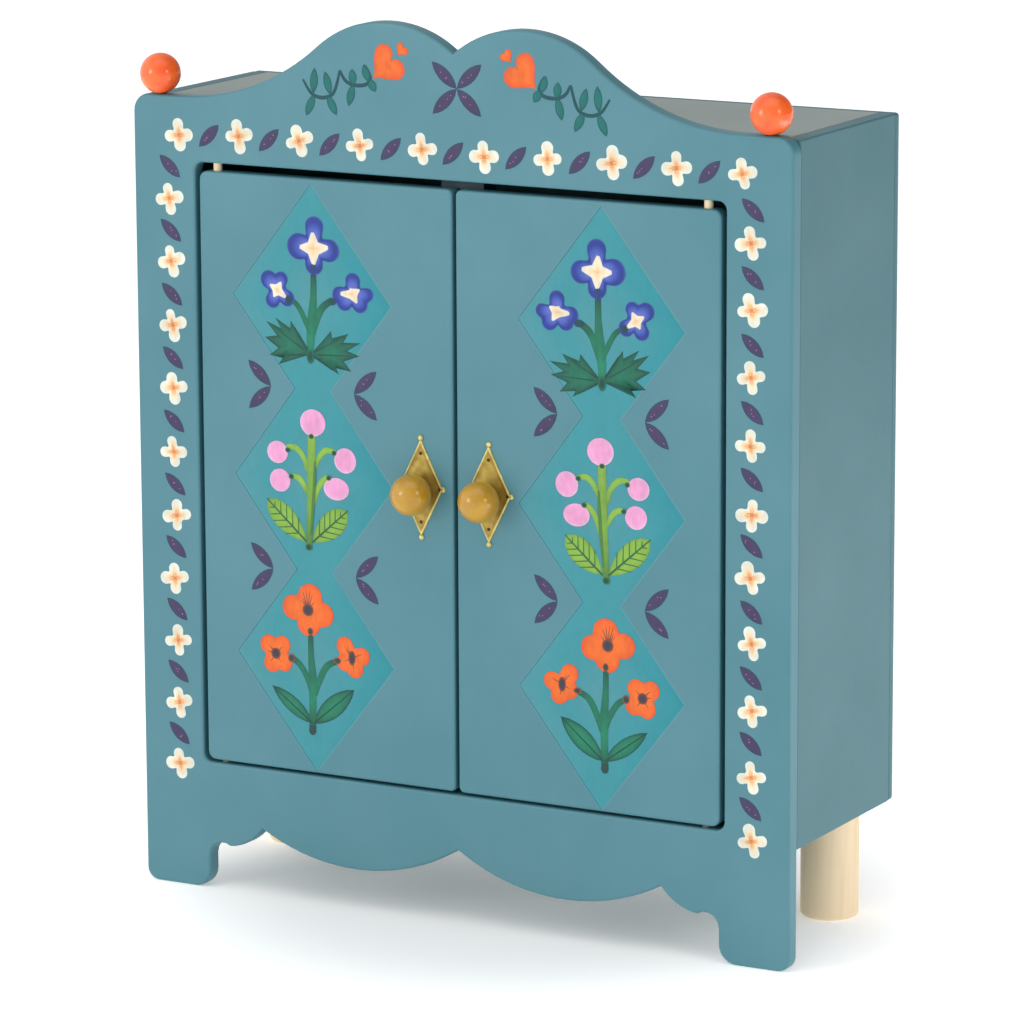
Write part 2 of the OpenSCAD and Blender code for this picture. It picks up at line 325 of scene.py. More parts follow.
def slab_mesh(name, lo, hi, rounding):
    """A box with rounded edges between two corners in millimetres."""
    bm = bmesh.new()
    bmesh.ops.create_cube(bm, size=1)
    for v in bm.verts:
        v.co = Vector([(a + b) / 2 + c * (b - a) for a, b, c in zip(lo, hi, v.co)]) * MM
    bmesh.ops.bevel(bm, geom=list(bm.edges), offset=rounding * MM, segments=3, profile=0.5,
                    affect="EDGES")
    mesh = bpy.data.meshes.new(name)
    bm.to_mesh(mesh)
    bm.free()
    return mesh


def lathe_mesh(name, profile, origin, axis="Z", steps=64):
    """A solid turned about an axis through origin. The profile is (radius, distance along it)."""
    verts = []
    faces = []
    rings = []
    for r, h in profile:
        count = steps if r > 1e-6 else 1
        ring = []
        for i in range(count):
            a = 2 * math.pi * i / steps
            x, y, z = r * math.cos(a), r * math.sin(a), h
            if axis == "-Y":
                x, y, z = x, -h, y
            ring.append(len(verts))
            verts.append(tuple((o + c) * MM for o, c in zip(origin, (x, y, z))))
        rings.append(ring)
    for low, high in zip(rings, rings[1:]):
        for i in range(steps):
            j = (i + 1) % steps
            quad = [low[i % len(low)], low[j % len(low)], high[j % len(high)], high[i % len(high)]]
            face = list(dict.fromkeys(quad))
            if len(face) > 2:
                faces.append(face)
    mesh = bpy.data.meshes.new(name)
    mesh.from_pydata(verts, [], faces)
    merge_close(mesh)
    return mesh


class Relief:
    """Paint on an upright face that looks towards -Y: thin raised shapes, each with its colours."""

    def __init__(self, middle_x, flip):
        self.middle_x = middle_x
        self.flip = flip
        self.verts = []
        self.faces = []
        self.colours = []

    def point(self, x, z, lift, colour):
        side = -1 if self.flip else 1
        self.verts.append(((self.middle_x + side * x) * MM, (FACE_Y - lift) * MM, z * MM))
        self.colours.append(colour)
        return len(self.verts) - 1

    def face(self, corners):
        self.faces.append(corners[::-1] if self.flip else corners)

    def blob(self, outline, middle, rings, lift):
        """A shape that its outline surrounds anticlockwise. rings are (share of the way out from the
        middle, height, colour), from the edge in; the last is the middle itself. A colour may be a
        list with one for each point of the outline."""
        before = None
        for share, height, colour in rings[:-1]:
            ring = []
            for i, (x, z) in enumerate(outline):
                tint = colour[i] if isinstance(colour, list) else colour
                ring.append(self.point(middle[0] + (x - middle[0]) * share,
                                       middle[1] + (z - middle[1]) * share, lift + height, tint))
            if before:
                for i in range(len(ring)):
                    j = (i + 1) % len(ring)
                    self.face([before[i], before[j], ring[j], ring[i]])
            before = ring
        tip = self.point(middle[0], middle[1], lift + rings[-1][1], rings[-1][2])
        for i in range(len(before)):
            self.face([before[i], before[(i + 1) % len(before)], tip])

    def stroke(self, path, widths, colours, lift, height=0.08, edge=None):
        """A brush stroke along a path, raised along its middle. Widths and colours may be lists, which
        are then spread over its length."""
        rows = []
        n = len(path)
        for i, (x, z) in enumerate(path):
            ax, az = path[max(i - 1, 0)]
            bx, bz = path[min(i + 1, n - 1)]
            length = math.hypot(bx - ax, bz - az) or 1
            nx, nz = -(bz - az) / length, (bx - ax) / length
            t = i / (n - 1)
            half = pick(widths, t) / 2
            colour = pick(colours, t)
            rim = edge or mix(colour, (0, 0, 0, 1), 0.12)
            rows.append([self.point(x + nx * half, z + nz * half, lift, rim),
                         self.point(x, z, lift + height, colour),
                         self.point(x - nx * half, z - nz * half, lift, rim)])
        for a, b in zip(rows, rows[1:]):
            self.face([a[0], a[1], b[1], b[0]])
            self.face([a[1], a[2], b[2], b[1]])

    def mesh(self, name):
        mesh = bpy.data.meshes.new(name)
        mesh.from_pydata(self.verts, [], self.faces)
        layer = mesh.color_attributes.new("paint", "FLOAT_COLOR", "POINT")
        for item, colour in zip(layer.data, self.colours):
            item.color = colour
        for poly in mesh.polygons:
            poly.use_smooth = True
        return mesh


def pick(values, t):
    """The value a share t of the way along a list, which may hold numbers or colours."""
    if not isinstance(values, list):
        return values
    place = t * (len(values) - 1)
    i = min(int(place), len(values) - 2)
    a, b = values[i], values[i + 1]
    if isinstance(a, tuple):
        return mix(a, b, place - i)
    return a + (b - a) * (place - i)


def curve_through(points, steps=6):
    """A smooth path through the points."""
    out = []
    n = len(points)
    for i in range(n - 1):
        p0, p1 = points[max(i - 1, 0)], points[i]
        p2, p3 = points[i + 1], points[min(i + 2, n - 1)]
        for s in range(steps):
            t = s / steps
            out.append(tuple(0.5 * (2 * b + (c - a) * t + (2 * a - 5 * b + 4 * c - d) * t * t
                                    + (3 * b - a - 3 * c + d) * t ** 3)
                             for a, b, c, d in zip(p0, p1, p2, p3)))
    out.append(points[-1])
    return out


# ---------------------------------------------------------------- painted shapes

CREAM = srgb(228, 220, 196)
WHITE = srgb(220, 224, 211)
PEACH = srgb(238, 200, 150)
RUST = srgb(214, 122, 60)
PLUM = srgb(64, 52, 88)
SLATE = srgb(46, 60, 90)
VINE = srgb(6, 104, 99)
DEEP_VINE = srgb(4, 75, 83)
HEART = srgb(226, 94, 34)
HEART_PALE = srgb(230, 108, 36)
HEART_DEEP = srgb(218, 80, 36)
GREEN = srgb(18, 110, 84)
DEEP_GREEN = srgb(14, 68, 60)
PALE_GREEN = srgb(24, 126, 94)
LIME = srgb(132, 176, 66)
LIME_DEEP = srgb(72, 122, 56)
ULTRAMARINE = srgb(34, 54, 138)
PERIWINKLE = srgb(60, 84, 170)
LAVENDER = srgb(92, 104, 186)
INK = srgb(58, 54, 62)
PINK = srgb(222, 150, 194)
PALE_PINK = srgb(214, 186, 214)
LOZENGE = srgb(52, 138, 148)
LOZENGE_EDGE = srgb(28, 132, 144)
LOZENGE_PALE = srgb(70, 138, 148)
# the engraved groove is drawn flat: painted shade in it, and painted highlight on its pale side and its lip
GROOVE_SHADE = srgb(44, 104, 118)
GROOVE_LIT = srgb(66, 132, 142)
GROOVE_LIP_HIGHLIGHT = srgb(104, 156, 166)


FLOWER_SIZE = 11.4             # across a flower of the border
SPECKLES = random.Random(11)   # where the pink specks on the plum leaves lie


def lens(tip_a, tip_b, width, steps=7):
    """The outline of a pointed leaf between two tips, anticlockwise."""
    (ax, az), (bx, bz) = tip_a, tip_b
    length = math.hypot(bx - ax, bz - az)
    nx, nz = -(bz - az) / length, (bx - ax) / length
    out = []
    for side in (-1, 1):
        for i in range(steps):
            t = i / steps
            along = t if side < 0 else 1 - t
            bulge = side * width / 2 * math.sin(math.pi * t) ** 0.75
            out.append((ax + (bx - ax) * along + nx * bulge, az + (bz - az) * along + nz * bulge))
    return out


def plum_leaf(art, tip_a, tip_b, width=4.3):
    """A dark leaf with three small pink specks."""
    art.blob(lens(tip_a, tip_b, width), midpoint(tip_a, tip_b),
             [(1, 0, SLATE), (0.72, 0.07, mix(SLATE, PLUM, 0.6)), (0.3, 0.1, PLUM), (0, 0.1, PLUM)], 0.03)
    for _ in range(3):
        along = SPECKLES.uniform(0.25, 0.75)
        across = SPECKLES.uniform(-0.7, 0.7)
        spot(art, tip_a[0] + (tip_b[0] - tip_a[0]) * along + across,
             tip_a[1] + (tip_b[1] - tip_a[1]) * along + across * 0.4, 0.2, 0.2, mix(PLUM, PINK, 0.6),
             mix(PLUM, PINK, 0.4), 0.12)


def lobed_outline(lobes, core, steps=72):
    """The outline round a group of overlapping discs (x, z, radius) and a core disc about the middle,
    anticlockwise: for each direction, the farthest that any disc reaches."""
    out = []
    for i in range(steps):
        a = 2 * math.pi * i / steps
        ux, uz = math.cos(a), math.sin(a)
        reach = core
        for x, z, r in lobes:
            along = x * ux + z * uz
            inside = r * r - (x * uz - z * ux) ** 2
            if along > 0 and inside > 0:
                reach = max(reach, along + math.sqrt(inside))
        out.append((reach * ux, reach * uz))
    return soften(out)


def soften(points):
    """Rounds the notches of a closed outline a little."""
    n = len(points)
    return [tuple(0.25 * a + 0.5 * b + 0.25 * c
                  for a, b, c in zip(points[i - 1], points[i], points[(i + 1) % n])) for i in range(n)]


def shifted(points, x, z):
    return [(px + x, pz + z) for px, pz in points]


def oval(x, z, rx, rz, count):
    """Points round an oval, anticlockwise."""
    turns = [2 * math.pi * k / count for k in range(count)]
    return [(x + rx * math.cos(a), z + rz * math.sin(a)) for a in turns]


def midpoint(a, b):
    return ((a[0] + b[0]) / 2, (a[1] + b[1]) / 2)


def stem(art, points, widths, colours, lift):
    """A brush stroke along a smooth path through the points."""
    art.stroke(curve_through(points), widths, colours, lift)


def lobed_flower(art, x, z, lobes, core, rings, lift):
    """One flower whose petals run together. rings are as for Relief.blob."""
    art.blob(shifted(lobed_outline(lobes, core), x, z), (x, z), rings, lift)


def cream_flower(art, x, z, size, rng):
    """Four cream petals, peach towards the middle, with a rust spot."""
    tilt = math.radians(rng.uniform(2, 15))
    lobes = []
    for turn in (90, 0, 270, 180):
        angle = math.radians(turn) + tilt + rng.uniform(-0.14, 0.14)
        reach = size * rng.uniform(0.28, 0.335)
        lobes.append((reach * math.cos(angle), reach * math.sin(angle), size * rng.uniform(0.165, 0.21)))
    outline = lobed_outline(lobes, size * 0.235, 60)
    rings = [(1, 0, WHITE), (0.84, 0.08, WHITE), (0.62, 0.12, mix(WHITE, PEACH, 0.35)),
             (0.4, 0.1, PEACH), (0.24, 0.1, mix(PEACH, RUST, 0.8)), (0, 0.1, RUST)]
    art.blob(shifted(outline, x, z), (x, z), rings, 0.03)
    for lx, lz, r in lobes:
        shade = mix(PEACH, RUST, rng.uniform(0.3, 0.75))
        start = (x + lx * 0.2, z + lz * 0.2)
        end = (x + lx * rng.uniform(0.6, 0.9), z + lz * rng.uniform(0.6, 0.9))
        art.stroke([start, midpoint(start, end), end], [1.1, 0.8, 0.2], shade, 0.12, 0.03,
                   mix(shade, CREAM, 0.55))


def heart(art, x, z, size, turn):
    """A heart whose point is turned from straight down by an angle."""
    outline = []
    for i in range(36):
        a = 2 * math.pi * i / 36
        hx = math.sin(a) ** 3
        hz = (13 * math.cos(a) - 5 * math.cos(2 * a) - 2 * math.cos(3 * a) - math.cos(4 * a)) / 16
        ca, sa = math.cos(turn), math.sin(turn)
        outline.append((x + size / 2 * (hx * ca - hz * sa), z + size / 2 * (hx * sa + hz * ca)))
    outline = outline[::-1]
    art.blob(outline, (x, z), [(1, 0, HEART_DEEP), (0.8, 0.1, HEART), (0.45, 0.14, HEART_PALE),
                               (0, 0.14, HEART)], 0.03)


def sprig(art):
    """A wavy vine beside the left heart, with pairs of narrow leaves."""
    stem(art, [(-58, 286), (-54.6, 281.4), (-50, 280.3), (-46, 282.4), (-43.6, 289.8)],
         [0.7, 1.2, 1.3, 1.2, 0.9], DEEP_VINE, 0.04)
    stem(art, [(-43.6, 289.8), (-41.6, 286.6), (-38.2, 285.2), (-33.8, 285.6), (-31.8, 288), (-33.8, 292)],
         [0.9, 1.2, 1.3, 1.3, 1.1, 0.7], DEEP_VINE, 0.04)
    pairs = [((-53.4, 290.2), (-54, 281.4)), ((-56.9, 273.8), (-53.6, 281.2)),
             ((-49.4, 289.2), (-47.4, 281.4)), ((-45.0, 274.6), (-48.6, 281.4)),
             ((-38.9, 290.6), (-38.5, 285)), ((-40.4, 278), (-38.5, 285.6)),
             ((-34.4, 292.4), (-32.6, 286.6)), ((-29.9, 283.4), (-32.4, 287.6))]
    for tip, base in pairs:
        art.blob(lens(tip, base, 3.1), midpoint(tip, base),
                 [(1, 0, DEEP_VINE), (0.65, 0.06, VINE), (0, 0.09, VINE)], 0.05)


def star(art, x, z, arms, waist, lift):
    """A cream star with one blunt point for each (angle in degrees, length)."""
    outline = []
    n = len(arms)
    for i, (angle, reach) in enumerate(arms):
        a = math.radians(angle)
        for da, share in ((-0.2, 0.84), (-0.1, 0.97), (0.1, 0.97), (0.2, 0.84)):
            outline.append((x + reach * share * math.cos(a + da), z + reach * share * math.sin(a + da)))
        following = arms[(i + 1) % n][0] + (360 if i == n - 1 else 0)
        between = math.radians((angle + following) / 2)
        outline.append((x + waist * math.cos(between), z + waist * math.sin(between)))
    rings = [(1, 0, mix(CREAM, LAVENDER, 0.15)), (0.8, 0.06, CREAM), (0.5, 0.1, mix(CREAM, PEACH, 0.35)),
             (0.3, 0.1, mix(CREAM, PEACH, 0.8)), (0, 0.1, mix(PEACH, RUST, 0.35))]
    art.blob(outline, (x, z), rings, lift)


BLUE_RINGS = [(1, 0, mix(ULTRAMARINE, LAVENDER, 0.35)), (0.93, 0.04, ULTRAMARINE), (0.82, 0.08, ULTRAMARINE),
              (0.64, 0.1, PERIWINKLE), (0.42, 0.08, LAVENDER), (0, 0.08, LAVENDER)]


def blue_flowers(art):
    """The violet plant in the top lozenge, about the middle of the door's painting."""
    stem(art, [(1.0, 221), (0.9, 213), (0.4, 205), (-0.4, 198), (-0.4, 192.5)], [2.2, 2.5, 3.9, 3.3, 2.4],
         [DEEP_GREEN, GREEN, GREEN, PALE_GREEN, GREEN], 0.05)
    stem(art, [(-8.6, 211.4), (-5.2, 208.8), (-2.4, 204), (-0.8, 199.6)], [1.5, 1.9, 2.0, 1.0],
         [DEEP_GREEN, GREEN, GREEN], 0.06)
    stem(art, [(7.8, 211.6), (4.2, 208.8), (2.0, 204), (1.0, 199.6)], [2.2, 2.6, 2.2, 1.0],
         [DEEP_GREEN, GREEN, GREEN], 0.06)
    lobed_flower(art, 1.2, 229, [(0.3, 7.2, 3.8), (-5.8, 0.3, 4.6), (6.0, -0.4, 4.0), (0.1, -5.6, 3.5)], 5.2,
                 BLUE_RINGS, 0.09)
    art.blob([(-0.6, 222.8), (0.9, 219.2), (2.5, 222.8), (0.9, 225.2)], (0.9, 222.4),
             [(1, 0.02, ULTRAMARINE), (0, 0.08, DEEP_GREEN)], 0.16)
    star(art, 1.2, 229, [(6, 6.0), (93, 5.6), (178, 5.6), (270, 5.8)], 2.9, 0.2)
    lobed_flower(art, -13.2, 213.8, [(-3.4, 3.3, 3.2), (1.5, 3.8, 2.6), (3.7, -2.6, 2.9), (-1.9, -3.6, 2.8)],
                 3.6, BLUE_RINGS, 0.09)
    star(art, -13.2, 213.8, [(62, 3.3), (150, 3.4), (240, 3.0), (325, 4.2)], 1.9, 0.2)
    lobed_flower(art, 16.2, 214.6, [(0.1, 4.3, 2.9), (-5.0, -0.6, 2.9), (-3.2, -3.1, 3.0), (2.8, -3.4, 3.0),
                                    (5.6, 0.1, 2.5)], 3.8, BLUE_RINGS, 0.09)
    star(art, 16.2, 214.6, [(30, 3.4), (110, 2.2), (183, 4.8), (300, 3.6)], 2.0, 0.2)
    spot(art, -8.9, 210.8, 1.3, 1.5, DEEP_GREEN, mix(DEEP_GREEN, ULTRAMARINE, 0.5), 0.2)
    spot(art, 8.2, 211.4, 1.7, 1.3, DEEP_GREEN, mix(DEEP_GREEN, ULTRAMARINE, 0.5), 0.2)


def toothed_leaf(art, base, tips, dark, pale):
    """A leaf cut into pointed fingers that spread from its base. The tips go anticlockwise."""
    outline = [base]
    for i, tip in enumerate(tips):
        if i:
            before = tips[i - 1]
            outline.append((base[0] + (tip[0] + before[0]) / 2 * 0.74,
                            base[1] + (tip[1] + before[1]) / 2 * 0.74))
        outline.append((base[0] + tip[0], base[1] + tip[1]))
    middle = (base[0] + sum(t[0] for t in tips) / len(tips) * 0.5,
              base[1] + sum(t[1] for t in tips) / len(tips) * 0.5)
    art.blob(outline, middle, [(1, 0, dark), (0.7, 0.07, mix(dark, pale, 0.6)), (0, 0.1, pale)], 0.05)
    for tip in tips[::2]:
        end = (base[0] + tip[0] * 0.8, base[1] + tip[1] * 0.8)
        art.stroke([(base[0] + tip[0] * 0.15, base[1] + tip[1] * 0.15), end], [0.5, 0.25], dark, 0.15, 0.02)


def blue_leaves(art):
    """Two toothed leaves at the foot of the violet plant, and the knot they spread from."""
    base = (-0.5, 192.6)
    toothed_leaf(art, base, [(-7.6, 11), (-13.7, 11.6), (-17.4, 10.2), (-17.9, 4.6), (-16.2, -1.4),
                             (-12.7, -4.4)], DEEP_GREEN, GREEN)
    toothed_leaf(art, base, [(11, -6), (15.9, -4.6), (19.2, 0.9), (19.6, 5.4), (14.9, 8.2), (8.1, 8.6)],
                 DEEP_GREEN, GREEN)
    knot_z = base[1] - 0.6
    art.blob(oval(base[0], knot_z, 1.5, 2.6, 12), (base[0], knot_z),
             [(1, 0, GREEN), (0.5, 0.05, DEEP_GREEN), (0, 0.06, DEEP_GREEN)], 0.18)


def broad_leaf(tip, base, width, steps=9):
    """The outline of a leaf that is broadest past its middle and ends in a short point."""
    dx, dz = tip[0] - base[0], tip[1] - base[1]
    length = math.hypot(dx, dz)
    nx, nz = -dz / length, dx / length
    out = []
    for side in (-1, 1):
        for i in range(steps):
            t = i / steps if side < 0 else 1 - i / steps
            bulge = side * width / 2 * math.sin(math.pi * t ** 1.25) ** 0.62
            out.append((base[0] + dx * t + nx * bulge, base[1] + dz * t + nz * bulge))
    return out


def veined_leaf(art, tip, base, width):
    """A light green leaf with a dark midrib and side veins."""
    middle = (tip[0] * 0.52 + base[0] * 0.48, tip[1] * 0.52 + base[1] * 0.48)
    rings = [(1, 0, mix(LIME, LIME_DEEP, 0.55)), (0.86, 0.06, mix(LIME, LIME_DEEP, 0.15)), (0, 0.1, LIME)]
    art.blob(broad_leaf(tip, base, width), middle, rings, 0.05)
    art.stroke([base, middle, tip], [0.8, 0.7, 0.45], DEEP_GREEN, 0.15, 0.03, LIME_DEEP)
    dx, dz = tip[0] - base[0], tip[1] - base[1]
    length = math.hypot(dx, dz)
    ux, uz = dx / length, dz / length
    for i in range(5):
        t = 0.2 + 0.15 * i
        start = (base[0] + dx * t, base[1] + dz * t)
        spread = width * 0.5 * math.sin(math.pi * min(t + 0.14, 0.93)) ** 0.7
        for side in (-1, 1):
            end = (start[0] + ux * spread * 0.9 - side * uz * spread,
                   start[1] + uz * spread * 0.9 + side * ux * spread)
            art.stroke([start, end], [0.5, 0.3], mix(LIME_DEEP, DEEP_GREEN, 0.3), 0.16, 0.02)


def berry_plant(art):
    """The plant with pink berries in the middle lozenge."""
    veined_leaf(art, (-18.4, 141.2), (-2.8, 127.6), 8.6)
    veined_leaf(art, (13.4, 139.8), (-0.6, 127.6), 9.0)
    branches = [[(-10.4, 160), (-6.6, 159.8), (-3.6, 156.6), (-2.4, 152)],
                [(9, 159.6), (5.2, 160), (2.6, 157.6), (0.8, 153.6)],
                [(-8.4, 150.2), (-5.6, 149.4), (-3.8, 147.4), (-2.6, 144.4)],
                [(5.8, 151), (3.6, 149.2), (1.6, 146), (0.2, 141)]]
    for path in branches:
        stem(art, path, [1.5, 2.2, 1.9, 1.2], [LIME, LIME, LIME, mix(LIME, LIME_DEEP, 0.5)], 0.07)
    stem(art, [(-0.4, 164.8), (-0.6, 156), (-1.2, 140), (-2, 126)], [2.9, 3.2, 3.0, 2.3],
         [LIME, mix(LIME, LIME_DEEP, 0.3), mix(LIME, LIME_DEEP, 0.4), LIME_DEEP], 0.09)
    art.stroke(curve_through([(0.8, 156), (0.6, 150), (-0.1, 140), (-1.1, 130)]), [0.5, 1.1, 1.2, 0.6],
               LIME_DEEP, 0.2, 0.03)
    spot(art, -2.0, 125.8, 1.4, 1.3, DEEP_GREEN, LIME_DEEP, 0.24)
    berries = [(0.1, 169.1, 5.0, 4.7), (-14, 157.8, 4.1, 3.9), (12.7, 157.1, 4.3, 4.4),
               (-13.1, 148.1, 4.1, 4.0), (9.1, 147, 5.0, 3.9)]
    stalks = [(-0.5, 164.4), (-9.9, 158.9), (8.4, 159.4), (-8.6, 149.8), (6.2, 150.6)]
    for (x, z, rx, rz), (sx, sz) in zip(berries, stalks):
        count = 20
        rim = [mix(PINK, PALE_PINK, 0.5 - 0.5 * math.cos(2 * math.pi * k / count - 0.7))
               for k in range(count)]
        rings = [(1, 0, rim), (0.85, 0.1, mix(PALE_PINK, PINK, 0.8)), (0.5, 0.16, PINK), (0, 0.17, PINK)]
        art.blob(oval(x, z, rx, rz, count), (x, z), rings, 0.12)
        spot(art, sx, sz, 1.0, 0.9, DEEP_GREEN, LIME_DEEP, 0.26)


def spot(art, x, z, rx, rz, middle, rim, lift):
    """A small oval dab of paint."""
    art.blob(oval(x, z, rx, rz, 12), (x, z), [(1, 0, rim), (0.6, 0.03, middle), (0, 0.04, middle)], lift)


def poppy(art, x, z, lobes, core, eye, rays, rng):
    """Orange petals that run together, with a dark eye and fine dark strokes that spread from it."""
    rings = [(1, 0, HEART_DEEP), (0.9, 0.05, HEART), (0.7, 0.1, mix(HEART, HEART_PALE, 0.6)),
             (0.4, 0.12, HEART_PALE), (0, 0.12, HEART)]
    lobed_flower(art, x, z, lobes, core, rings, 0.1)
    for angle, reach in rays:
        a = math.radians(angle)
        art.stroke([(x, z), (x + reach * 0.6 * math.cos(a), z + reach * 0.6 * math.sin(a)),
                    (x + reach * math.cos(a), z + reach * math.sin(a))],
                   [0.5, 0.35, 0.15], mix(INK, HEART, rng.uniform(0.15, 0.45)), 0.22, 0.01)
    spot(art, x, z, eye[0], eye[1], INK, mix(INK, HEART, 0.3), 0.25)


def poppy_plant(art, rng):
    """The plant with orange flowers in the bottom lozenge."""
    for tip, base, width in (((-17.2, 75.6), (-1.2, 64), 5.6), ((15.2, 77.6), (-1.0, 64), 7.2)):
        middle = midpoint(tip, base)
        art.blob(lens(tip, base, width, 9), middle,
                 [(1, 0, DEEP_GREEN), (0.75, 0.06, GREEN), (0, 0.1, PALE_GREEN)], 0.05)
        art.stroke([base, middle, tip], [0.5, 0.5, 0.3], DEEP_GREEN, 0.15, 0.02)
    side_colours = [DEEP_GREEN, GREEN, GREEN, GREEN]
    stem(art, [(-9.8, 86.4), (-6.4, 84.4), (-3.4, 80), (-1.8, 75)], [2.0, 2.2, 2.2, 1.4], side_colours, 0.07)
    stem(art, [(8.6, 87), (4.6, 84.8), (1.6, 79.6), (-0.2, 74)], [2.0, 2.4, 2.4, 1.4], side_colours, 0.07)
    stem(art, [(-1.8, 96), (-1.7, 88), (-1.2, 80), (-1.2, 72), (-1.4, 61.4)], [2.0, 2.2, 3.2, 2.8, 2.6],
         [DEEP_GREEN, GREEN, GREEN, PALE_GREEN, DEEP_GREEN], 0.09)
    poppy(art, -2.6, 103.8, [(0.8, 4.4, 4.8), (-5.8, 0.4, 4.4), (5.8, -1.2, 4.3), (0.2, -4.8, 4.5)], 5.2,
          (2.2, 2.2), [(72, 5.6), (84, 6.8), (96, 7), (108, 6.4), (50, 4.2), (130, 4.2), (118, 5)], rng)
    poppy(art, -15.6, 87.2, [(-2.9, 2.9, 3.4), (2.4, 3.1, 3.3), (3.1, -2.8, 3.3), (-1.6, -3.5, 3.3)], 4.2,
          (1.9, 2.0), [(45, 3.6), (135, 3.8), (235, 3.6), (305, 3.6), (170, 3.4)], rng)
    poppy(art, 14.6, 88.8, [(-2.8, 3.9, 3.3), (3.8, 0.8, 3.2), (1.1, -3.7, 3.3), (-2.9, -1.8, 3.1)], 3.8,
          (1.4, 2.6), [(24, 4.2), (115, 4.4), (128, 4.6), (280, 3.6), (205, 3.2)], rng)
    for x, z, rx, rz, lift in ((-9.4, 86.2, 1.4, 1.5, 0.2), (8.8, 87.2, 1.5, 1.1, 0.2),
                               (-1.8, 96.4, 1.1, 1.4, 0.22)):
        spot(art, x, z, rx, rz, mix(DEEP_GREEN, INK, 0.3), mix(HEART_DEEP, DEEP_GREEN, 0.5), lift)
    spot(art, -1.4, 61.6, 1.4, 1.7, mix(DEEP_GREEN, INK, 0.4), DEEP_GREEN, 0.2)


# The chain of three lozenges: (height, half width) from the bottom point up to the top one.
CHAIN = [(47.2, 0.0), (86.6, 31.0), (117.6, 6.9), (148.8, 31.0), (180.4, 6.9), (211.2, 31.0), (250.6, 0.0)]


def lozenges(art):
    """A brighter blue field in each lozenge, and the fine groove round all three, drawn flat in paint: a
    line of painted shade, paler on one side as a painted highlight, with a thin painted highlight along its
    lip. The colour is strongest, and the groove palest, towards the same hand on both doors."""
    east = -1 if art.flip else 1
    for i in (0, 2, 4):
        (z0, w0), (z1, w1), (z2, w2) = CHAIN[i:i + 3]
        outline = [(-w0, z0), (w0, z0), (w1, z1), (w2, z2), (-w2, z2), (-w1, z1)]
        outline = list(dict.fromkeys(outline))
        tints = [LOZENGE_EDGE if x * east > 20 else LOZENGE_PALE if x * east < -20 else LOZENGE
                 for x, _ in outline]
        art.blob(outline, (0, z1), [(1, 0, tints), (0.6, 0, LOZENGE), (0, 0, LOZENGE_PALE)], 0.012)
    for (z0, w0), (z1, w1) in zip(CHAIN, CHAIN[1:]):
        # painted shade on one side of the groove, painted highlight on the other, and a painted highlight on
        # each lip
        for side, shade in ((-east, GROOVE_SHADE), (east, GROOVE_LIT)):
            art.stroke([(side * w0, z0), (side * w1, z1)], 0.34, shade, 0.022, 0.0, shade)
            art.stroke([(side * (w0 + 0.28), z0), (side * (w1 + 0.28), z1)], 0.16,
                       GROOVE_LIP_HIGHLIGHT, 0.02, 0.0, GROOVE_LIP_HIGHLIGHT)


def door_plum_leaves(art):
    """A pair of plum leaves in each notch of the chain."""
    for z in (180.4, 116.9):
        for side in (-1, 1):
            vertex = (side * 16.3, z)
            for up in (-1, 1):
                outer = (side * 25.2, z + up * 8.4)
                plum_leaf(art, outer, vertex)


def paint_door(side_name, flip):
    """All that is painted on one door."""
    rng = random.Random(7)
    middle = PANEL_X if flip else -PANEL_X
    body = side_name + "_leaf"
    jobs = [("lozenges", lozenges), ("leaf_pairs", door_plum_leaves), ("violets", blue_flowers),
            ("violet_leaves", blue_leaves), ("berries", berry_plant),
            ("poppies", lambda art: poppy_plant(art, rng))]
    for name, painter in jobs:
        art = Relief(middle, flip)
        painter(art)
        material = field_paint if name == "lozenges" else decoration
        add_piece("door_%s_%s" % (side_name, name), art.mesh(name), material, body)


def paint_frame():
    """The border of flowers and leaves round the doorway, and the pediment."""
    rng = random.Random(3)
    flowers = Relief(0, False)
    leaves = Relief(0, False)
    top_z = 264.6
    step_x = 23.7
    count = 10
    for i in range(count):
        x = (i - (count - 1) / 2) * step_x
        cream_flower(flowers, x, top_z + rng.uniform(-0.7, 0.7), FLOWER_SIZE, rng)
        if i < count - 1:
            half = 4.0
            mx = x + step_x / 2
            plum_leaf(leaves, (mx - half, top_z - half), (mx + half, top_z + half))
    step_z = 22.1
    for side in (-1, 1):
        x = side * 110.6
        for i in range(count):
            z = 242.2 - i * step_z
            cream_flower(flowers, x + rng.uniform(-0.6, 0.6), z + rng.uniform(-0.6, 0.6), FLOWER_SIZE, rng)
            lz = z + step_z / 2
            plum_leaf(leaves, (x + 4.1, lz - 3.7), (x - 4.1, lz + 3.7))
    add_piece("frame_flowers", flowers.mesh("frame_flowers"), decoration, "carcass")
    add_piece("frame_leaves", leaves.mesh("frame_leaves"), decoration, "carcass")

    middle = Relief(0, False)
    star_x, star_z = 1.6, 286.2
    for dx, dz in ((-9.4, 8.6), (9.4, 8.6), (-9.2, -8.8), (9.2, -8.8)):
        plum_leaf(middle, (star_x + dx, star_z + dz), (star_x, star_z), 4.4)
    add_piece("pediment_star", middle.mesh("pediment_star"), decoration, "carcass")
    for name, flip in SIDES:
        vine = Relief(PEDIMENT_X, flip)
        sprig(vine)
        add_piece("pediment_sprig_" + name, vine.mesh("sprig"), decoration, "carcass")
        hearts = Relief(PEDIMENT_X, flip)
        heart(hearts, -25.6, 292.6, 13.6, math.radians(-47))
        heart(hearts, -19.8, 298, 4.9, math.radians(-40))
        add_piece("pediment_hearts_" + name, hearts.mesh("hearts"), decoration, "carcass")


# ---------------------------------------------------------------- the wooden parts

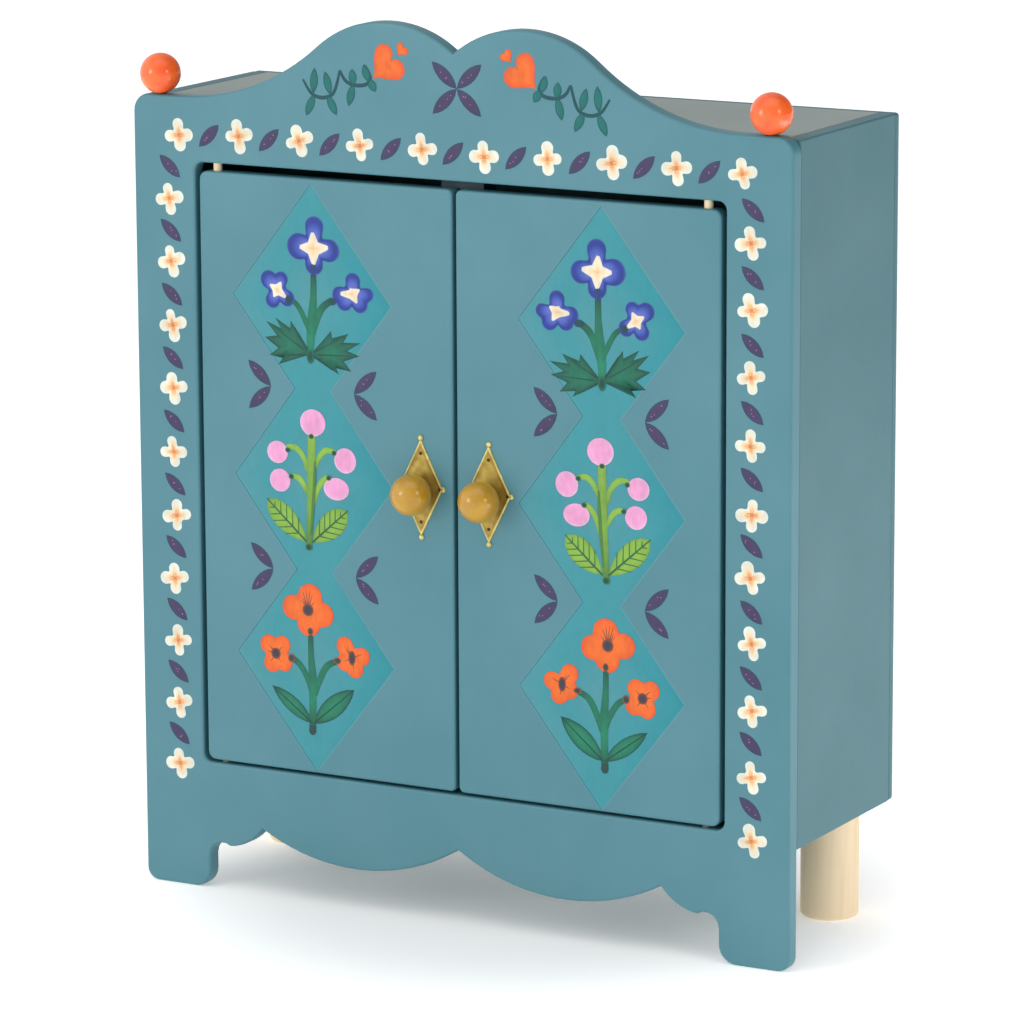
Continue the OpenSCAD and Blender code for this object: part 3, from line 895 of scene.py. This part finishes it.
def meeting_point(a, b):
    """The lower point where two circles (x, z, radius) cross."""
    (ax, az, ar), (bx, bz, br) = a, b
    d = math.hypot(bx - ax, bz - az)
    along = (ar * ar - br * br + d * d) / (2 * d)
    off = math.sqrt(ar * ar - along * along)
    ux, uz = (bx - ax) / d, (bz - az) / d
    points = [(ax + ux * along - s * uz * off, az + uz * along + s * ux * off) for s in (-1, 1)]
    return min(points, key=lambda p: p[1])


def bearing(circle, point):
    """The angle of a point seen from a circle's centre, in degrees."""
    return math.degrees(math.atan2(point[1] - circle[1], point[0] - circle[0]))


def frame_outline():
    """The outside of the front board, anticlockwise, built from the same arcs as the CAD."""
    shoulder = 277.6
    hump = (25.8, 265.9, 41)
    hollow_x = 106
    rise = shoulder - hump[1]
    hollow_r = ((hollow_x - hump[0]) ** 2 + rise ** 2 - hump[2] ** 2) / (2 * (hump[2] - rise))
    hollow = (hollow_x, shoulder + hollow_r, hollow_r)
    turn = bearing(hump, hollow)
    cusp = math.degrees(math.acos(-hump[0] / hump[2]))
    scallop = (40.7, 89, 75)
    end_scallop = (93, 35.2, 19.5)
    fillet = (93.8, 11.8, 5)
    step = meeting_point(end_scallop, fillet)
    peak = meeting_point(scallop, end_scallop)
    half = arc(*hump, cusp, turn, 22)
    half += arc(*hollow, 180 + turn, 270, 16)[1:]
    half += arc(HALF_W - 6, shoulder - 6, 6, 90, 0, 7)
    half += arc(HALF_W - 4.5, 4.5, 4.5, 0, -90, 6)
    half += arc(98.8 + 6.5, 6.5, 6.5, -90, -180, 7)
    half += arc(*fillet, 0, bearing(fillet, step), 5)
    half += arc(*end_scallop, bearing(end_scallop, step), bearing(end_scallop, peak), 8)[1:]
    middle = -math.degrees(math.acos(-scallop[0] / scallop[2]))
    half += arc(*scallop, bearing(scallop, peak), middle, 20)[1:]
    left = [(-x, z) for x, z in half[1:-1]][::-1]
    return (half + left)[::-1]


def rounded_rect(x0, x1, z0, z1, r0, r1):
    return (arc(x0 + r0, z0 + r0, r0, 180, 270, 6) + arc(x1 - r1, z0 + r1, r1, 270, 360, 6)
            + arc(x1 - r1, z1 - r1, r1, 0, 90, 6) + arc(x0 + r0, z1 - r0, r0, 90, 180, 6))


def build_front():
    """The front board with its doorway, and the two doors."""
    opening = rounded_rect(-100.8, 100.8, 45.5, 255.3, 3, 3)
    mesh = board_mesh("front_board", [frame_outline(), opening], FACE_Y, BACK_Y - FACE_Y, 1.0)
    obj = add_piece("front_board", mesh, front_paint, "carcass", ("front_frame",))
    smooth(obj)
    for name, sign in (("left", -1), ("right", 1)):
        lo, hi = box_mm("door_" + name)
        radii = (3, 2) if sign < 0 else (2, 3)
        outline = rounded_rect(lo[0], hi[0], lo[2], hi[2], *radii)
        mesh = board_mesh("door_board_" + name, [outline], lo[1], hi[1] - lo[1] - HAIR, 0.9)
        obj = add_piece("door_board_" + name, mesh, front_paint, name + "_leaf",
                        ("door_" + name,))
        smooth(obj)


def build_box():
    """The sides, top, bottom and back, with softened edges."""
    # the sides and back take the darker teal, which is painted shade
    panels = [("side_panel_left", side_paint, 0.7), ("side_panel_right", side_paint, 0.7),
              ("top_panel", top_paint, 0.3), ("bottom_panel", inside_paint, 0.4),
              ("back_panel", side_paint, 1.1)]
    for node, material, rounding in panels:
        lo, hi = box_mm(node)
        if node == "back_panel":
            hi[1] -= HAIR
        if node == "bottom_panel":
            hi[2] -= HAIR
        mesh = slab_mesh(node + "_board", lo, hi, rounding)
        obj = add_piece(node + "_board", mesh, material, "carcass", (node,))
        smooth(obj)


def ball_profile(radius, flat, steps=28):
    """A ball cut off flat at a distance from its middle, from its top round to its flat."""
    profile = []
    end = math.acos(-flat / radius)
    for i in range(steps + 1):
        a = end * i / steps
        profile.append((radius * math.sin(a), radius * math.cos(a)))
    profile.append((0, -flat))
    return profile


def build_balls():
    """The finials, flat below, and the knobs, flat behind."""
    for name in ("left", "right"):
        lo, hi = box_mm("finial_" + name)
        radius = (hi[0] - lo[0]) / 2
        centre = [(lo[0] + hi[0]) / 2, (lo[1] + hi[1]) / 2, hi[2] - radius]
        mesh = lathe_mesh("finial_ball_" + name, ball_profile(radius, centre[2] - lo[2]), centre)
        obj = add_piece("finial_ball_" + name, mesh, orange, "carcass", ("finial_" + name,))
        smooth(obj)
        lo, hi = box_mm("knob_" + name)
        radius = (hi[2] - lo[2]) / 2
        centre = [(lo[0] + hi[0]) / 2, lo[1] + radius, (lo[2] + hi[2]) / 2]
        mesh = lathe_mesh("knob_ball_" + name, ball_profile(radius, hi[1] - centre[1]), centre, "-Y")
        obj = add_piece("knob_ball_" + name, mesh, mustard, name + "_leaf", ("knob_" + name,))
        smooth(obj)


def build_legs():
    """The back legs: round bar with the lower end eased."""
    for name in ("left", "right"):
        lo, hi = box_mm("rear_leg_" + name)
        radius = (hi[0] - lo[0]) / 2
        middle = [(lo[0] + hi[0]) / 2, (lo[1] + hi[1]) / 2, lo[2]]
        height = hi[2] - lo[2]
        edge = 1.4
        toe = [(radius - edge + edge * math.sin(math.radians(a)), edge - edge * math.cos(math.radians(a)))
               for a in range(0, 91, 15)]
        profile = [(0, 0), (radius - edge - 2, 0)] + toe + [(radius, height - 0.1), (0, height - 0.1)]
        mesh = lathe_mesh("round_leg_" + name, profile, middle)
        obj = add_piece("round_leg_" + name, mesh, birch, "carcass", ("rear_leg_" + name,))
        smooth(obj, 50)


BRASS_FIELD = srgb(176, 152, 72)
BRASS_RIM = srgb(214, 204, 130)
BRASS_DARK = srgb(120, 98, 36)
NAIL_BROWN = srgb(84, 56, 34)


def diamond(cx, cz, half_w, half_h, per_side=8):
    """Points round a diamond, anticlockwise from its right-hand point."""
    corners = [(half_w, 0), (0, half_h), (-half_w, 0), (0, -half_h)]
    out = []
    for (ax, az), (bx, bz) in zip(corners, corners[1:] + corners[:1]):
        for i in range(per_side):
            t = i / per_side
            out.append((cx + ax + (bx - ax) * t, cz + az + (bz - az) * t))
    return out


def build_plates():
    """Pressed brass diamonds: a hollow field, a raised rim and a bead on each point."""
    for name, flip in SIDES:
        middle_x = (plate_lo[0] + plate_hi[0]) / 2
        middle_z = (plate_lo[2] + plate_hi[2]) / 2
        half_w = (plate_hi[0] - plate_lo[0]) / 2 - 1.1
        half_h = (plate_hi[2] - plate_lo[2]) / 2 - 1.1
        art = Relief(-middle_x if flip else middle_x, flip)
        rings = [(1, 0, BRASS_DARK), (0.985, 0.3, BRASS_RIM), (0.96, 0.58, BRASS_RIM),
                 (0.93, 0.58, BRASS_RIM), (0.9, 0.42, BRASS_FIELD),
                 (0.84, 0.34, mix(BRASS_FIELD, BRASS_DARK, 0.4)), (0.7, 0.36, BRASS_FIELD),
                 (0.45, 0.42, BRASS_FIELD), (0, 0.44, BRASS_FIELD)]
        art.blob(diamond(0, middle_z, half_w, half_h), (0, middle_z), rings, 0.0)
        for dx, dz in ((half_w + 0.1, 0), (-half_w - 0.1, 0), (0, half_h + 0.1), (0, -half_h - 0.1)):
            bead = shifted(arc(0, 0, 1, 0, 337.5, 15), dx, middle_z + dz)
            art.blob(bead, (dx, middle_z + dz),
                     [(1, 0, BRASS_DARK), (0.96, 0.3, BRASS_RIM), (0.8, 0.58, BRASS_RIM),
                      (0.45, 0.75, BRASS_RIM), (0, 0.78, BRASS_RIM)], 0.01)
        add_piece("plate_" + name, art.mesh("plate"), brass, name + "_leaf", ("escutcheon_" + name,))
        build_nails(name, flip, middle_x, middle_z)


def build_nails(name, flip, middle_x, middle_z):
    """The four small dark nails that hold a plate, with domed heads."""
    lo, hi = box_mm("escutcheon_nails_left")
    reach_x = (hi[0] - lo[0]) / 2 - 0.65
    reach_z = (hi[2] - lo[2]) / 2 - 0.65
    dome = [(share, height, NAIL_BROWN) for share, height in ((1, 0), (0.9, 0.14), (0.6, 0.24), (0, 0.28))]
    art = Relief(-middle_x if flip else middle_x, flip)
    for dx, dz in ((0, reach_z), (0, -reach_z), (reach_x, 0), (-reach_x, 0)):
        head = shifted(arc(0, 0, 0.6, 0, 337.5, 15), dx, middle_z + dz)
        art.blob(head, (dx, middle_z + dz), dome, 0.44)
    add_piece("plate_nails_" + name, art.mesh("plate_nails"), brass, name + "_leaf",
              ("escutcheon_nails_" + name,))


def finish_cad_nodes():
    """Materials for the small fittings that keep their CAD shape."""
    # the door stop and the lower pivot pins take darker copies of their paint and wood, as painted shade
    finishes = {"frame_dowels": birch, "carcass_dowels": birch, "finial_dowels": birch,
                "clothes_rail": birch_across, "leg_screws": steel, "back_panel_pins": steel,
                "catch_magnet": ferrite, "door_stop": shaded_stop_paint}
    for side, _ in SIDES:
        finishes["pivot_pin_%s_top" % side] = birch
        # the lower pins are the same birch as the top ones, darkened as painted shade
        finishes["pivot_pin_%s_bottom" % side] = shaded_pin_wood
        finishes["knob_screw_" + side] = steel
        finishes["keeper_" + side] = steel
    for name, material in finishes.items():
        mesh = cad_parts[name].data
        mesh.materials.clear()
        mesh.materials.append(material)


# ---------------------------------------------------------------- floor, light and camera

def build_stage():
    """A white floor that glows as painted light, and glows less near the wardrobe as a painted shadow."""
    size = 8
    corners = [(-size, -size, 0), (size, -size, 0), (size, size, 0), (-size, size, 0)]
    mesh = bpy.data.meshes.new("floor")
    mesh.from_pydata(corners, [], [(0, 1, 2, 3)])
    floor = bpy.data.objects.new("floor", mesh)
    scene.collection.objects.link(floor)
    look = Look("floor_white")
    look.set("Base Color", (0.93, 0.93, 0.93, 1))
    look.set("Roughness", 0.8)
    look.set("Emission Color", (1, 1, 1, 1))
    # the floor glows, a painted light, and glows less under the wardrobe, a painted shadow
    away = look.nodes.new("ShaderNodeVectorMath")
    away.operation = "LENGTH"
    look.link(look.coords.outputs["Object"], away.inputs[0])
    floor_glow_painted_shadow = look.spread(away.outputs["Value"], 0.12, 0.52, "Emission Strength")
    floor_glow_painted_shadow.interpolation_type = "SMOOTHSTEP"
    floor_glow_painted_shadow.inputs["From Min"].default_value = 0.06
    floor_glow_painted_shadow.inputs["From Max"].default_value = 0.17
    mesh.materials.append(look.material)


def camera_axes(azimuth, elevation, roll):
    """The camera's right, up and back vectors."""
    az, el, ro = (math.radians(a) for a in (azimuth, elevation, roll))
    back = Vector((math.sin(az) * math.cos(el), -math.cos(az) * math.cos(el), math.sin(el)))
    right = Vector((math.cos(az), math.sin(az), 0))
    up = back.cross(right)
    return (right * math.cos(ro) + up * math.sin(ro), up * math.cos(ro) - right * math.sin(ro), back)


def build_camera():
    """A long lens, from the right and a little above."""
    right, up, back = camera_axes(28.72, 11.80, -0.253)
    place = Vector((877.3, FACE_Y - 1561.5, 517.6)) * MM
    data = bpy.data.cameras.new("camera")
    data.lens = 191.9
    data.sensor_width = 36
    data.clip_end = 100
    camera = bpy.data.objects.new("camera", data)
    scene.collection.objects.link(camera)
    camera.matrix_world = Matrix(((right.x, up.x, back.x, place.x), (right.y, up.y, back.y, place.y),
                                  (right.z, up.z, back.z, place.z), (0, 0, 0, 1)))
    scene.camera = camera
    return right, up, back


def add_softbox(name, direction, distance, size, power):
    """A rectangular lamp that looks at the middle of the wardrobe from a direction."""
    target = Vector((0, 0, 0.15))
    data = bpy.data.lights.new(name, "AREA")
    data.shape = "RECTANGLE"
    data.size, data.size_y = size
    data.energy = power
    lamp = bpy.data.objects.new(name, data)
    scene.collection.objects.link(lamp)
    lamp.location = target + direction.normalized() * distance
    lamp.rotation_euler = direction.to_track_quat("Z", "Y").to_euler()
    lamp.visible_camera = False


def build_light(right, up, back):
    """A soft white room and five lamps, three of them placed by the camera's own axes."""
    world = bpy.data.worlds.new("studio")
    world.use_nodes = True
    nodes, links = world.node_tree.nodes, world.node_tree.links
    # brighter towards the front, the left and the floor, where the studio's big white walls are
    coords = nodes.new("ShaderNodeTexCoord")
    dot = nodes.new("ShaderNodeVectorMath")
    dot.operation = "DOT_PRODUCT"
    dot.inputs[1].default_value = Vector((-0.72, -0.55, -0.42)).normalized()
    spread = nodes.new("ShaderNodeMapRange")
    spread.inputs["From Min"].default_value = -1
    spread.inputs["To Min"].default_value = 0.1
    spread.inputs["To Max"].default_value = 1.5
    links.new(coords.outputs["Generated"], dot.inputs[0])
    links.new(dot.outputs["Value"], spread.inputs["Value"])
    links.new(spread.outputs["Result"], nodes["Background"].inputs["Strength"])
    nodes["Background"].inputs["Color"].default_value = (1, 1, 1, 1)
    scene.world = world
    add_softbox("window_left", -0.83 * right + 0.14 * up + 0.54 * back, 1.6, (0.3, 0.45), 3.2)
    add_softbox("window_right", 0.6 * right + 0.18 * up + 0.78 * back, 1.6, (0.22, 0.32), 2)
    add_softbox("side_bounce", Vector((0.42, 0.06, -0.09)), 0.42, (0.4, 0.12), 0.4)
    add_softbox("overhead", Vector((-0.1, 0.2, 1)), 1.7, (1.3, 1.3), 1)
    add_softbox("front_top", 0.87 * up + 0.5 * back, 1.6, (1.8, 1.1), 5)


build_front()
build_box()
build_balls()
build_legs()
build_plates()
for leaf_name, mirrored in SIDES:
    paint_door(leaf_name, mirrored)
paint_frame()
finish_cad_nodes()
build_stage()
build_light(*build_camera())
